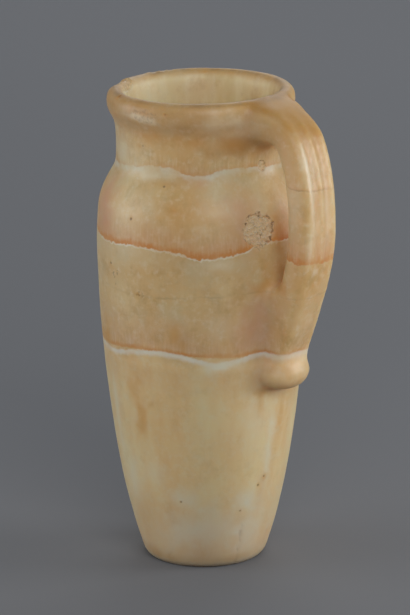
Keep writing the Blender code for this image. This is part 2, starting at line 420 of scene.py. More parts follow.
def fuse(thing, parts):
    """Joins the parts to the thing as one skin of even faces."""
    surfaces = [surface_of(part) for part in [thing] + parts]
    for part in parts:
        join = thing.modifiers.new(part.name, "BOOLEAN")
        join.operation = "UNION"
        join.solver = "EXACT"
        join.object = part
    skin = thing.modifiers.new("skin", "REMESH")
    skin.mode = "VOXEL"
    skin.voxel_size = VOXEL
    fused = bpy.data.meshes.new_from_object(thing.evaluated_get(bpy.context.evaluated_depsgraph_get()))
    thing.modifiers.clear()
    thing.data = fused
    fill_hollows(fused, surfaces)
    for part in parts:
        bpy.data.objects.remove(part, do_unlink=True)


fuse(vessel, forms)
print("one skin:", len(vessel.data.vertices), "points")

# %% [markdown]
# ## Marks of age
#
# Thousands of years left a spall beside the handle, pits where softer grains fell out, a bruised
# rim and a crack near the foot. Each is a small hollow with its own place, size and depth. A place
# is an angle round the axis, measured from the handle, and a height. The spall and pits need finer
# faces than the rest, so only the stone round them is divided again.

# %% Where the marks are
# Each row: angle in degrees, height, half width, half height, depth (mm), roughness of its floor
SPALLS = {
    "belly_spall": (-18.6, 177.6, 9.2, 9.0, 1.40, 1.0),
    "shoulder_spall": (-6.0, 206.5, 2.6, 2.8, 0.90, 1.0),
    "rim_step": (-158.0, 238.0, 9.0, 3.4, 1.10, 0.1),
    "rim_bruise": (-88.0, 233.0, 8.0, 3.6, 0.12, 0.1),
}
# Each row: angle, height, half width, half height, depth (mm)
PITS = {
    "spall_pit": (-17.0, 184.2, 1.1, 0.8, 0.60),
    "spall_pit_left": (-25.4, 181.2, 0.9, 1.1, 0.55),
    "rim_hole": (-115.8, 239.0, 1.0, 0.8, 0.60),
    "rim_pit": (-72.6, 235.0, 0.9, 0.8, 0.30),
    "shoulder_pit": (-75.1, 198.9, 0.9, 0.7, 0.22),
    "neck_pit": (-93.0, 217.0, 0.8, 0.7, 0.25),
    "belly_pit": (-93.1, 182.3, 0.9, 1.0, 0.22),
    "edge_pit": (-109.8, 157.4, 0.9, 0.8, 0.30),
    "low_pit": (-67.6, 37.8, 0.7, 0.7, 0.30),
    "low_pit_right": (-10.9, 44.1, 0.7, 0.8, 0.30),
    "low_pit_upper": (-6.3, 48.2, 0.7, 0.7, 0.22),
    "heel_pit": (-23.9, 31.6, 0.7, 0.6, 0.35),
    "back_pit": (152.0, 120.0, 1.0, 0.9, 0.45),
    "back_pit_low": (118.0, 62.0, 0.9, 0.8, 0.40),
}
# A cluster of small holes: angle, height, spread across, spread up, half size, depth (mm), how many
PIT_CLUSTER = (-86.5, 146.5, 2.6, 2.4, 0.55, 0.35, 8)
SCRATCH_CLUSTER = (-105.0, 152.5, 5.0, 3.0, 0.45, 0.18, 9)
CLUSTER_SPREAD = 0.6
FINE_REACH = 2.5 * MM


def mark_frames(rows):
    """Centre on the turned outside and direction across, for rows of angle, height (mm) and sizes."""
    frames = []
    for angle, height, *sizes in rows:
        turn = math.radians(angle)
        radius = radius_at(outside, height * MM)
        centre = np.array((radius * math.cos(turn), radius * math.sin(turn), height * MM))
        frames.append((centre, np.array((-math.sin(turn), math.cos(turn), 0.0)), np.array(sizes)))
    return frames


spall_frames = mark_frames(SPALLS.values())


def scatter(angle, height, wide, high, size, depth, count):
    """A few pits spread at random round a place, always the same ones."""
    spread = np.random.default_rng(round(height)).normal(0.0, CLUSTER_SPREAD, (count, 2))
    degrees = math.degrees(MM * wide / radius_at(outside, height * MM))
    return [(angle + degrees * aside, height + high * up, size, size, depth) for aside, up in spread]


cluster = scatter(*PIT_CLUSTER) + scatter(*SCRATCH_CLUSTER)
pit_frames = mark_frames(list(PITS.values()) + cluster)
print("marks:", len(spall_frames), "spalls and", len(pit_frames), "pits")


# %% Finer faces round the marks
def divide_near(thing, frames, rounds):
    """Halves the edges that lie close to a mark, round after round."""
    for _ in range(rounds):
        bm = bmesh.new()
        bm.from_mesh(thing.data)
        chosen = set()
        for centre, _, sizes in frames:
            limit = max(sizes[:2]) * MM + FINE_REACH
            chosen.update(edge for edge in bm.edges
                          if all((vert.co - Vector(centre)).length < limit for vert in edge.verts))
        bmesh.ops.subdivide_edges(bm, edges=list(chosen), cuts=1, use_grid_fill=True)
        bm.to_mesh(thing.data)
        bm.free()


divide_near(vessel, spall_frames + pit_frames, 2)
divide_near(vessel, spall_frames[:1], 1)
print("with finer faces:", len(vessel.data.polygons))


# %% [markdown]
# ## Carving the marks
#
# The whole skin first gets the faint facets of hand work: a tenth of a millimetre over one or two
# centimetres, enough to break a reflection. Then the spalls are sunk with a ragged edge and a rough
# floor, the pits as small bowls, and a crack is drawn up from the foot. Last, the foot is flattened.

# %% Relief
# Each row: width and height of a facet, how far it stands out
HAND_WAVES = [(22 * MM, 22 * MM, 0.16 * MM), (8 * MM, 8 * MM, 0.04 * MM), (14 * MM, 60 * MM, 0.12 * MM)]
# Layers of noise, each with its strength, size and seed
RAGGED_EDGE = [(0.22, 3.2 * MM, 4.0), (0.14, 1.2 * MM, 9.0)]
ROUGH_BED = [(1.0, 1.8 * MM, 2.0), (0.8, 0.8 * MM, 5.0)]
SPALL_EDGE = 0.86  # where the edge begins to drop, as a share of the half size
MEAN_DEPTH = 0.75
UNEVEN_DEPTH = 0.95
CRACK_ANGLE = -21.0
CRACK_WANDER = 2.0  # degrees
CRACK_TOP = 29 * MM
CRACK_DEPTH = 0.35 * MM
CRACK_WIDTH = 0.9 * MM


def noise_at(spots, size, seed=0.0):
    """Soft noise between -1 and 1 over a real size."""
    shift = Vector((seed, 0.37 * seed, 0.61 * seed))
    return np.array([noise.noise(Vector(spot) / size + shift) for spot in spots])


def roughened(values, spots, layers):
    """Values with layers of noise added."""
    for strength, size, seed in layers:
        values = values + strength * noise_at(spots, size, seed)
    return values


def carve(mesh):
    """Sinks every mark and returns how broken, pitted and cracked each point is, from 0 to 1."""
    spots, normals = read_points(mesh, "co"), read_points(mesh, "normal")
    lift = np.zeros(len(spots))
    for wide, tall, height in HAND_WAVES:
        lift += height * noise_at(spots * (1, 1, wide / tall), wide, seed=tall / MM)
    broken = np.zeros(len(spots))
    for centre, across, (half_width, half_height, depth, rough) in spall_frames:
        away = spots - centre
        near = np.linalg.norm(away, axis=1) < 1.7 * max(half_width, half_height) * MM
        flat = np.hypot(away[near] @ across / half_width, away[near, 2] / half_height) / MM
        sunk = 1 - ease(roughened(flat, spots[near], RAGGED_EDGE), SPALL_EDGE, 1.0)
        grain = roughened(0.0, spots[near], ROUGH_BED)
        lift[near] -= depth * MM * sunk * (MEAN_DEPTH + UNEVEN_DEPTH * rough * grain)
        broken[near] = np.maximum(broken[near], sunk * rough)
    pitted = np.zeros(len(spots))
    for centre, across, (half_width, half_height, depth) in pit_frames:
        away = spots - centre
        near = np.linalg.norm(away, axis=1) < 2 * half_width * MM
        flat = np.hypot(away[near] @ across / half_width, away[near, 2] / half_height) / MM
        bowl = 1 - ease(flat, 0.2, 1.0)
        lift[near] -= depth * MM * bowl
        pitted[near] = np.maximum(pitted[near], bowl)
    angle = np.degrees(np.arctan2(spots[:, 1], spots[:, 0]))
    away = np.hypot(spots[:, 0], spots[:, 1])
    wander = CRACK_WANDER * noise_at(spots, 6 * MM, 3.0)
    aside = np.radians(angle - CRACK_ANGLE - wander) * away
    crack = np.exp(-(aside / (0.5 * CRACK_WIDTH)) ** 2) * (1 - ease(spots[:, 2], 0.7 * CRACK_TOP, CRACK_TOP))
    crack *= away > FOOT_RADIUS
    lift -= CRACK_DEPTH * crack
    spots += lift[:, None] * normals
    spots[:, 2] = np.maximum(spots[:, 2], 0.0)
    write_points(mesh, spots)
    return broken, pitted, crack


broken, pitted, crack = carve(vessel.data)
print("carved points:", int((broken > 0.05).sum()), "in the spalls")

# %% [markdown]
# ## The beds of the stone
#
# Alabaster grows in beds, and every vein on the jug is the edge of one, cut through by the wall. So
# a vein is nearly level all round, with small waves, and it steps down a little on the handle,
# which stands further out. For each bed the mesh stores how far every point is above it, in
# millimetres, and the material then paints lines at chosen distances.

# %% Height above each bed
# For each bed: how far it drops on the handle (mm), and (angle, height) all the way round
BEDS = {
    "bed_upper": (8.0, [
        (-131, 204.6), (-104, 205.8), (-87, 207.9), (-75, 207.6), (-66, 206.4), (-58, 204.9), (-47, 204.8),
        (-41, 206.3), (-32, 207.3), (-15, 207.2), (0, 205.6), (24, 205.2), (38, 207.4), (60, 208.3),
        (76, 206.0), (96, 205.2), (118, 207.9), (132, 207.2), (150, 204.3), (172, 203.4), (200, 205.6)]),
    "bed_middle": (8.8, [
        (-127, 169.0), (-113, 168.7), (-101, 168.7), (-92, 170.0), (-80, 169.6), (-67, 168.7), (-61, 167.9),
        (-56, 166.2), (-42, 165.9), (-33, 167.1), (-25, 168.8), (-20, 171.0), (-5, 170.7), (20, 169.4),
        (34, 171.6), (52, 172.4), (66, 170.2), (84, 169.0), (101, 166.6), (116, 168.1), (137, 169.8),
        (158, 167.1), (170, 165.9), (198, 168.6), (214, 170.4)]),
    "bed_faint": (3.0, [
        (-125, 145.5), (-80, 144.6), (-50, 146.0), (-20, 146.8), (40, 147.6), (78, 145.4), (120, 143.6),
        (160, 146.2), (205, 144.1)]),
    "bed_lower": (2.5, [
        (-131, 113.6), (-117, 112.8), (-106, 113.4), (-92, 115.8), (-79, 117.0), (-66, 116.7), (-60, 115.6),
        (-49, 112.8), (-42, 111.7), (-33, 113.0), (-23, 114.6), (-16, 116.0), (0, 115.6), (30, 113.2),
        (52, 112.4), (74, 114.9), (98, 117.2), (121, 115.6), (140, 113.1), (163, 114.0), (186, 117.1),
        (208, 116.2)]),
    "bed_rust": (2.5, [
        (-133, 115.6), (-115, 115.4), (-95, 117.3), (-78, 117.8), (-57, 116.5), (-44, 115.4), (-27, 115.4),
        (-16, 116.5), (0, 116.3), (40, 115.3), (70, 116.0), (98, 118.3), (121, 117.6), (145, 115.4),
        (163, 116.1), (186, 118.4), (208, 117.2)]),
}
# How far outside the belly a point of the handle has dropped most of the way (mm)
DROP_LENGTH = 8.0


def bed_height(rows, angles):
    """Smooth closed curve through (angle, height) rows."""
    rows = [(a - 360, h) for a, h in rows[-2:]] + rows + [(a + 360, h) for a, h in rows[:2]]
    line = smooth_line(rows, 8)
    return np.interp(angles, [p.x for p in line], [p.y for p in line])


def store(mesh, name, values):
    """Keeps one number for each point, which the material can read by its name."""
    layer = mesh.attributes.new(name, "FLOAT", "POINT")
    layer.data.foreach_set("value", np.asarray(values, dtype=np.float32))


spots = read_points(vessel.data, "co")
angles = np.degrees(np.arctan2(spots[:, 1], spots[:, 0]))
reach = np.hypot(spots[:, 0], spots[:, 1])
heights = spots[:, 2] / MM
on_handle = 1 - np.exp(-np.maximum(reach - SHOULDER_RADIUS, 0.0) / (DROP_LENGTH * MM))
above = {}
for name, (drop, rows) in BEDS.items():
    above[name] = heights - bed_height(rows, angles) + drop * on_handle
    store(vessel.data, name, above[name])
print("beds stored:", list(BEDS))

# %% [markdown]
# ## Where each coat of colour lies
#
# A mask says how strongly a colour may show at each point, from 0 to 1. Some follow the beds: the
# stone above the lowest bed is honey coloured and below it cream, and upright crystal fibres show
# best just above a bed. Others follow use: hands have darkened the rim, the handle and the roll,
# grime sits on the crest and in the pits, and the foot is dusty. Others are painted shade: a band
# under the rim beside the handle, the faces near the handle's root that look up, and a thin dark
# line in the crease under the roll.

# %% Masks
RAGGED_PATCH = [(0.50, 6 * MM, 11.0), (0.20, 2 * MM, 6.0)]


def patch_strength(spots, patches, handle_patches=()):
    """How strongly each point lies in soft patches with ragged edges."""
    total = np.zeros(len(spots))
    ragged = roughened(1.0, spots, RAGGED_PATCH)
    for centre, across, (half_width, half_height, strength) in mark_frames(patches):
        away = spots - centre
        flat = np.hypot(away @ across / half_width, away[:, 2] / half_height) / MM
        near = np.linalg.norm(away, axis=1) < 3 * max(half_width, half_height) * MM
        total += near * strength * np.exp(-(flat * ragged) ** 2)
    for aside, height, half_width, half_height, strength in handle_patches:
        flat = np.hypot((spots[:, 1] / MM - aside) / half_width, (heights - height) / half_height)
        total += on_handle * strength * np.exp(-(flat * ragged) ** 2)
    return np.clip(total, 0.0, 1.0)


honey = ease(roughened(above["bed_lower"], spots, [(4.0, 9 * MM, 8.0)]), -6.0, 6.0)
fibrous = 0.15 * honey
FIBRE_LENGTHS = {"bed_upper": 9.0, "bed_middle": 16.0, "bed_rust": 12.0}  # mm above the bed
for bed, fade in FIBRE_LENGTHS.items():
    fibrous = np.maximum(fibrous, ease(above[bed], -1.5, 0.5) * (1 - ease(above[bed], 0.3 * fade, fade)))

# The hollow is the skin that faces the axis, below the crest of the rim
facing = read_points(vessel.data, "normal")
inward = -(facing[:, 0] * spots[:, 0] + facing[:, 1] * spots[:, 1]) / np.maximum(reach, MM)
outer_wall = np.interp(spots[:, 2], [p.y for p in outside], [p.x for p in outside])
hollow = np.maximum(ease(inward, -0.1, 0.5), facing[:, 2] * (reach < MOUTH_RADIUS))
hollow *= spots[:, 2] > 0.5 * FLOOR
hollow *= (1 - ease(spots[:, 2], HEIGHT - 5 * MM, HEIGHT - 1.5 * MM)) * (reach < outer_wall - 0.4 * WALL)

# Hands darkened the rim, most of all at this angle, the back of the handle and its roll. Painted
# shade is added to them: a band under the rim beside the handle, and the faces near the handle's
# root that look up.
LEFT_OF_RIM = -125
left = np.clip(np.cos(np.radians(angles - LEFT_OF_RIM)), 0, 1)
at_roll = ease(heights, 92, 97) * (1 - ease(heights, 106, 110)) * ease(reach / MM, 47, 53)
handled_and_shade = ease(heights, 216, 238) * (0.42 + 0.35 * left)
handled_and_shade += 0.20 * on_handle * ease(heights, 150, 205)
handled_and_shade += 0.4 * at_roll
# Painted shade: the faces near the handle's root that look up are painted darker and golden
upward_shade = np.clip(facing[:, 2], 0, 1) * ease(spots[:, 0], 34 * MM, 44 * MM) * ease(heights, 200, 228)
# Painted shade under the rim, on each side of the handle. Each row: angle, height, half width,
# half height (mm), strength
UNDER_RIM_SHADE = [(-24, 218.0, 13, 4.8, 1.0), (31, 218.0, 12, 4.0, 0.70)]
handled_and_shade = np.maximum(handled_and_shade, upward_shade) + patch_strength(spots, UNDER_RIM_SHADE) * (1 - on_handle) ** 2
ROSY = [(-24, 128, 8, 12, 0.70), (-28, 186, 8, 10, 0.60), (-20, 142, 5, 6, 0.35), (-116, 176, 9, 8, 0.60),
        (-122, 188, 9, 10, 0.80), (-23, 175, 6, 6, 0.60), (-60, 204, 9, 5, 0.35), (60, 185, 12, 10, 0.50),
        (140, 130, 12, 9, 0.45)]
# Painted shade: a thin dark line in the crease under the roll
under_roll_shade = 0.5 * np.exp(-((heights - 95.4) / 0.8) ** 2) * ease(reach / MM, 48, 53) * (np.abs(angles) < 25)
crest = 0.8 * ease(heights, 237.8, 239.5) * roughened(0.6, spots, [(0.4, 7 * MM, 5.0)])
# Grime on the crest, in the crack and pits and along the foot's edge, with the painted shade under the roll
grime_and_shade = np.maximum.reduce([crest, under_roll_shade, 0.3 * crack, pitted, 0.9 * (1 - ease(heights, 0.3, 1.8))])
# Each row: strength, and the heights where the dust begins to thin and is gone (mm)
DUST = [(0.25, 0, 4), (0.20, 2, 14), (0.30, 8, 55)]
dust = sum(strength * (1 - ease(heights, thins, gone)) for strength, thins, gone in DUST)
masks = {"honey": honey, "cream": 1 - honey, "fibrous": fibrous, "hollow": hollow, "outer": 1 - hollow,
         "handled_and_shade": handled_and_shade, "grime_and_shade": grime_and_shade, "dust": dust, "broken": broken,
         "broken_edge": 4 * broken * (1 - broken), "off_handle": 1 - on_handle, "on_handle": on_handle,
         "upward_shade": upward_shade, "rosy": patch_strength(spots, ROSY)}
for name, values in masks.items():
    store(vessel.data, name, np.clip(values, 0.0, 1.0))
print("masks stored:", list(masks))

# %% [markdown]
# ## Stains
#
# Iron in the ground water left soft ochre patches. Those under the rim, beside the handle and
# under the roll are painted shade as well as stain, where shade falls in these hollows. Pale clouds
# are places where the crystals are so fine that they scatter all light, and the narrow pale streaks
# along the ribs of the handle are painted highlights as well as clouds. Both are colour alone, so
# they are stored as a strength for each point and don't change the shape.

# %% Iron stains, painted shade, pale clouds and painted highlights
# Each row: angle, height, half width, half height (mm), strength
# Rows at heights 218 to 222 under the rim, at 145 to 150 in the gap beside the handle and at 88 to 96 under
# the roll paint shade as well as iron stain
STAINS_AND_SHADE = [
    (-27, 218.0, 8.0, 3.0, 0.25), (-38, 219.0, 12, 3.0, 0.20), (-60, 221.5, 16, 2.6, 0.28),
    (-90, 222.0, 10, 2.2, 0.25), (-13, 150.0, 4.2, 3.6, 0.55), (-19, 147.0, 5.0, 3.0, 0.40),
    (-66, 126.0, 3.0, 6.0, 0.55), (-62, 121.0, 1.8, 3.5, 0.40), (-91, 79.0, 3.6, 10.0, 0.65),
    (-96, 95.0, 5.0, 7.0, 0.45), (-78, 80.0, 9.0, 16.0, 0.16), (-14, 95.0, 6.0, 3.0, 0.50),
    (-15, 88.0, 2.5, 5.5, 0.50), (-52, 190.0, 8.0, 9.0, 0.25), (-67, 188.0, 4.6, 3.4, 0.45),
    (-47, 184.0, 3.6, 2.4, 0.30), (-93, 182.5, 1.2, 2.2, 0.50), (-75, 199.5, 7.0, 2.0, 0.35),
    (-96, 216.5, 1.4, 1.0, 0.50), (-110, 157.4, 0.9, 1.1, 0.50), (-116, 239.0, 1.8, 1.2, 0.60),
    (-86, 93.0, 1.1, 1.1, 0.45), (-68, 37.8, 1.0, 0.9, 0.50), (-88, 145.0, 2.2, 2.2, 0.35),
    (-11, 44.1, 1.0, 1.1, 0.50), (-6, 48.2, 1.6, 2.2, 0.50), (-24, 31.6, 0.9, 0.8, 0.45),
    (-73, 235.0, 1.2, 0.9, 0.45), (-86, 234.5, 3.0, 1.2, 0.25), (-20, 5.0, 12.0, 1.8, 0.45),
    (-26, 3.0, 5.0, 1.6, 0.40), (-70, 5.0, 14.0, 1.6, 0.30), (-30, 145.0, 6.0, 9.0, 0.18),
    (4, 80.0, 1.6, 12.0, 0.35), (-8, 40.0, 3.0, 8.0, 0.25), (-118, 120.0, 3.0, 14.0, 0.30),
    (-124, 118.5, 7.0, 2.6, 0.60), (-106, 6.0, 8.0, 3.0, 0.55), (-104, 26.0, 7.0, 14.0, 0.22),
    (-88, 3.0, 9.0, 2.0, 0.45), (95, 150.0, 12, 5.0, 0.35), (150, 219.0, 12, 3.0, 0.45),
    (20, 96.0, 6.0, 3.0, 0.45), (24, 218.0, 8.0, 3.0, 0.60), (110, 70.0, 4.0, 12.0, 0.35),
    (-160, 100.0, 6.0, 9.0, 0.30), (126, 239.0, 1.0, 2.0, 0.60), (-32, 60.0, 12, 20.0, 0.10),
    (128, 226.0, 12.0, 8.0, 0.18),
]
MILKY = [
    (-118, 212.0, 9.0, 7.0, 0.50), (-93, 232.0, 7.0, 1.6, 0.75), (-83, 230.5, 4.0, 1.6, 0.45),
    (-36, 231.0, 12.0, 3.5, 0.35), (-26, 226.0, 7.0, 3.5, 0.30), (-86, 203.5, 8.0, 2.8, 0.38),
    (-72, 204.0, 5.0, 2.2, 0.35), (-101, 205.0, 4.0, 2.2, 0.20), (-36, 204.5, 5.0, 2.5, 0.40),
    (-84, 190.0, 8.0, 5.0, 0.22), (-50, 180.0, 3.0, 3.0, 0.30), (-14, 192.0, 6.0, 9.0, 0.30),
    (-42, 162.0, 9.0, 3.0, 0.35), (-42, 130.0, 8.0, 8.0, 0.30), (-43, 110.4, 5.0, 2.0, 0.85),
    (-36, 110.8, 9.0, 2.6, 0.45), (-117, 80.0, 2.5, 22.0, 0.60), (-108, 45.0, 4.0, 12.0, 0.55),
    (-68, 39.0, 6.0, 5.0, 0.60), (-85, 52.0, 6.0, 7.0, 0.35), (-20, 38.0, 6.0, 6.0, 0.55),
    (-5, 58.0, 2.4, 20.0, 0.65), (-45, 22.0, 16.0, 12.0, 0.60), (-70, 20.0, 9.0, 9.0, 0.45),
    (-14, 17.0, 8.0, 13.0, 0.60), (-18, 81.0, 9.0, 17.0, 0.35), (172, 226.0, 13.0, 9.0, 0.50),
    (100, 200.0, 9.0, 6.0, 0.45), (160, 60.0, 9.0, 14.0, 0.50), (75, 40.0, 8.0, 12.0, 0.50),
    (130, 130.0, 9.0, 7.0, 0.35),
]
# On the back of the handle; the long narrow streaks along its ribs are painted highlights as well
# as milky stone. Each row: distance aside from its middle, height, half width, half height (mm),
# strength
HANDLE_MILKY_AND_HIGHLIGHTS = [(-7.5, 199.0, 1.6, 20.0, 0.50), (-2.0, 214.0, 1.4, 9.0, 0.40), (-9.5, 170.0, 1.6, 9.0, 0.40),
                (4.0, 190.0, 1.4, 14.0, 0.35), (-3.5, 158.0, 1.6, 1.6, 0.60), (0.0, 112.5, 14.0, 1.5, 0.65),
                (-9.0, 213.0, 3.0, 9.0, 0.40)]

store(vessel.data, "stain_and_shade", patch_strength(spots, STAINS_AND_SHADE))
store(vessel.data, "milky_and_highlights", patch_strength(spots, MILKY, HANDLE_MILKY_AND_HIGHLIGHTS))
vessel.data.shade_smooth()
print("stains:", len(STAINS_AND_SHADE), "and milky clouds:", len(MILKY) + len(HANDLE_MILKY_AND_HIGHLIGHTS))

# %% [markdown]
# ## Egyptian alabaster, rubbed smooth
#
# Calcite is colourless, and the honey and cream come from traces between its crystals. Light
# enters, scatters for a centimetre or so and comes out again, warmer than it went in, which is why
# a thin rim glows. The gloss is a worn polish by abrasion: no sharp reflections, index about 1.57.
# The colour is built in coats, one over another, as glazes are: clouds and fibres, then veins,
# then stains, broken stone and the dull foot. Some coats also paint shade under the rim, on the
# faces near the handle's root that look up, beside the handle and under the roll, and highlights
# along the handle's ribs.

# %% Colours, and one helper for nodes
def colour(hex_code):
    """sRGB hex to the linear colour that shaders work in."""
    channels = [int(hex_code[k:k + 2], 16) / 255 for k in (1, 3, 5)]
    return tuple(c / 12.92 if c <= 0.04045 else ((c + 0.055) / 1.055) ** 2.4 for c in channels) + (1.0,)


HONEY = colour("#DFB679")
TAN = colour("#E7C793")
CREAM = colour("#F3C890")
IVORY = colour("#F8DAA8")
GREY_STONE = colour("#DAC79E")
MILK = colour("#F5E6CA")
ROSE = colour("#DFAC86")
PATINA = colour("#B8924E")
# Hand wear, and painted shade under the rim and on the faces near the handle's root that look up
HANDLED_AND_SHADE = colour("#A67832")
LINING = colour("#E9D6AC")
UMBER = colour("#80633C")
PALE_VEIN = colour("#F6ECDE")
ORANGE_VEIN = colour("#DA9448")
# Iron stains, and painted shade under the rim, beside the handle and under the roll
OCHRE = colour("#D99F4B")
BROKEN_STONE = colour("#ECD0A8")
BROKEN_HOLES = colour("#745330")
# Painted shade on the faces near the handle's root that look up
GOLDEN = colour("#C08A30")
FOOT_DUST = colour("#B5A48C")
print("cream stone in linear light:", [round(channel, 3) for channel in CREAM[:3]])

stone = bpy.data.materials.new("egyptian_alabaster_rubbed")
stone.use_nodes = True
tree = stone.node_tree
tree.nodes.clear()


def add_node(kind, settings=None, inputs=None, output=0):
    """Adds a node with its settings, fills its inputs with values or outputs, and returns an output."""
    node = tree.nodes.new("ShaderNode" + kind)
    for name, value in (settings or {}).items():
        setattr(node, name, value)
    for key, value in (inputs or {}).items():
        if isinstance(value, bpy.types.NodeSocket):
            tree.links.new(value, node.inputs[key])
        else:
            node.inputs[key].default_value = value
    return None if output is None else node.outputs[output]


# %% [markdown]
# ### Patterns
#
# The stone is clouded over some centimetres, mottled over some millimetres and fibrous below that.
# Each noise pattern takes its scale from such a size. Real fibres and grains are a few tenths of a
# millimetre wide, too fine to show, so they are drawn at about one millimetre.

# %% Patterns in the stone
# Each pattern: size of a patch (mm), detail, roughness, how many times taller than wide
PATTERNS = {
    "clouds": (30.0, 4.0, 0.55, 1.0),
    "tall_clouds": (14.0, 3.0, 0.50, 3.0),
    "patches": (11.0, 5.0, 0.65, 1.0),
    "cloudlets": (15.0, 5.0, 0.60, 1.0),
    "mottle": (4.0, 4.0, 0.65, 1.0),
    "streaks": (6.0, 3.0, 0.55, 5.0),
    "fibres": (1.1, 2.0, 0.55, 9.0),
    "ragged": (9.0, 4.0, 0.60, 1.0),
    "torn": (2.0, 3.0, 0.60, 1.0),
    "grains": (0.9, 3.0, 0.55, 1.0),
}
from_middle = add_node("TexCoord", output="Object")
in_mm = add_node("VectorMath", {"operation": "SCALE"}, {0: from_middle, "Scale": 1 / MM})
pattern = {None: 1.0}
for number, (name, (size, detail, rough, tall)) in enumerate(PATTERNS.items()):
    squeezed = add_node("VectorMath", {"operation": "MULTIPLY"}, {0: in_mm, 1: (1.0, 1.0, 1 / tall)})
    pattern[name] = add_node("TexNoise", {"noise_dimensions": "4D"}, {
        "Vector": squeezed, "W": 7.0 * number, "Scale": 1 / size, "Detail": detail, "Roughness": rough})
stored = {name: add_node("Attribute", {"attribute_name": name}, output="Fac")
          for name in [*masks, *BEDS, "stain_and_shade", "milky_and_highlights"]}
pattern_sizes = [row[0] for row in PATTERNS.values()]
print("patterns from", max(pattern_sizes), "mm down to", min(pattern_sizes), "mm")

# %% [markdown]
# ### Honey above, cream below
#
# The lowest bed divides the jug: above it the stone holds more iron and is honey coloured, below
# it the stone is cream and clears to ivory. Each coat shows where its mask allows it and where a
# noise pattern rises from one value to another, so no coat is flat.

# %% Coats of the ground
# Each row: colour, mask, pattern, its value where the coat starts and where it is full, strength
GROUND = [
    (HONEY, "honey", None, 0.0, 1.0, 1.0),
    (TAN, "honey", "clouds", 0.38, 0.62, 1.0),
    (IVORY, "cream", "tall_clouds", 0.36, 0.68, 1.0),
    (PATINA, "honey", "patches", 0.50, 0.72, 0.50),
    (PATINA, "cream", "tall_clouds", 0.46, 0.24, 0.16),
    (PATINA, "cream", "patches", 0.52, 0.74, 0.22),
    (GREY_STONE, "honey", "cloudlets", 0.50, 0.66, 0.50),
    (MILK, "honey", "mottle", 0.50, 0.76, 0.45),
    (MILK, "cream", "mottle", 0.48, 0.76, 0.35),
    (UMBER, "fibrous", "fibres", 0.48, 0.26, 0.12),
    (MILK, "fibrous", "fibres", 0.50, 0.74, 0.26),
    (ROSE, "rosy", None, 0.0, 1.0, 1.0),
    # Hand wear, with painted shade under the rim and on the faces near the handle's root that look up
    (HANDLED_AND_SHADE, "handled_and_shade", None, 0.0, 1.0, 0.60),
    (HANDLED_AND_SHADE, "handled_and_shade", "patches", 0.62, 0.34, 0.40),
    (GOLDEN, "upward_shade", "patches", 0.30, 0.55, 0.60),
    (LINING, "hollow", None, 0.0, 1.0, 0.85),
    (MILK, "hollow", "streaks", 0.46, 0.66, 0.50),
    (PATINA, "hollow", "patches", 0.50, 0.32, 0.35),
]


def add_coats(under, rows):
    """Lays each coat over the last one and returns the colour on top."""
    for shade, mask, name, start, full, strength in rows:
        shown = add_node("MapRange", {}, {
            "Value": pattern[name], "From Min": start, "From Max": full, "To Max": strength})
        amount = add_node("Math", {"operation": "MULTIPLY"}, {0: stored[mask], 1: shown})
        under = add_node("Mix", {"data_type": "RGBA"}, {0: amount, 6: under, 7: shade}, 2)
    return under


skin_colour = add_coats(CREAM, GROUND)
print("ground coats:", len(GROUND))

# %% [markdown]
# ### Veins
#
# A vein is a profile across a bed: an orange line that fades upward, and a white one below it. Its
# strength rises over one stretch of the distance from the bed and falls over another. The distance
# is first disturbed by noise, because the edges of real beds are ragged, and the upper edge is
# disturbed once more, so that the line is thick and thin by turns.

# %% Painting the beds
VEIN_CLOUDS = (0.40, 0.58)  # values of the cloudlets where a vein is faintest and strongest
FEATHER = 0.6
feathered = add_node("Math", {"operation": "ADD"}, {0: pattern["patches"], 1: pattern["fibres"]})
# Each row: colour, mask, bed, raggedness, fine tearing and unevenness of the upper edge (mm),
# distances where it starts, is full, begins to fade and is gone (mm), greatest and least strength
VEINS = [
    (ROSE, "outer", "bed_middle", 3.0, 4.0, 8.0, (-1.0, 0.5, 2.0, 16.0), (0.45, 0.25)),
    (GREY_STONE, "off_handle", "bed_middle", 2.0, 4.0, 0.0, (-14.0, -5.0, -1.0, 0.0), (0.40, 0.25)),
    (ROSE, "off_handle", "bed_rust", 3.0, 4.0, 10.0, (-0.5, 1.0, 4.0, 24.0), (0.40, 0.15)),
    (PALE_VEIN, "off_handle", "bed_upper", 5.0, 2.6, 0.0, (-4.0, -1.0, -0.6, 0.2), (0.50, 0.05)),
    (ORANGE_VEIN, "outer", "bed_upper", 5.0, 2.6, 2.0, (-0.4, 0.1, 0.4, 2.4), (0.40, 0.05)),
    (UMBER, "on_handle", "bed_upper", 4.0, 1.5, 0.0, (-0.5, 0.0, 0.3, 1.0), (0.34, 0.10)),
    (PALE_VEIN, "off_handle", "bed_middle", 3.5, 4.0, 0.0, (-1.3, -0.8, -0.5, 0.1), (0.60, 0.15)),
    (ORANGE_VEIN, "outer", "bed_middle", 3.5, 4.0, 6.0, (-0.4, 0.1, 0.9, 3.4), (1.0, 0.30)),
    (ORANGE_VEIN, "outer", "bed_middle", 3.5, 4.0, 8.0, (-0.4, 0.6, 1.5, 10.0), (0.35, 0.10)),
    (UMBER, "outer", "bed_faint", 3.0, 2.0, 0.0, (-0.6, -0.1, 0.2, 0.8), (0.14, 0.0)),
    (ORANGE_VEIN, "outer", "bed_rust", 2.5, 1.6, 3.0, (-1.0, -0.2, 0.4, 2.0), (0.80, 0.20)),
    (PALE_VEIN, "outer", "bed_lower", 3.0, 1.4, 0.0, (-3.4, -0.6, 0.0, 0.9), (0.75, 0.40)),
]
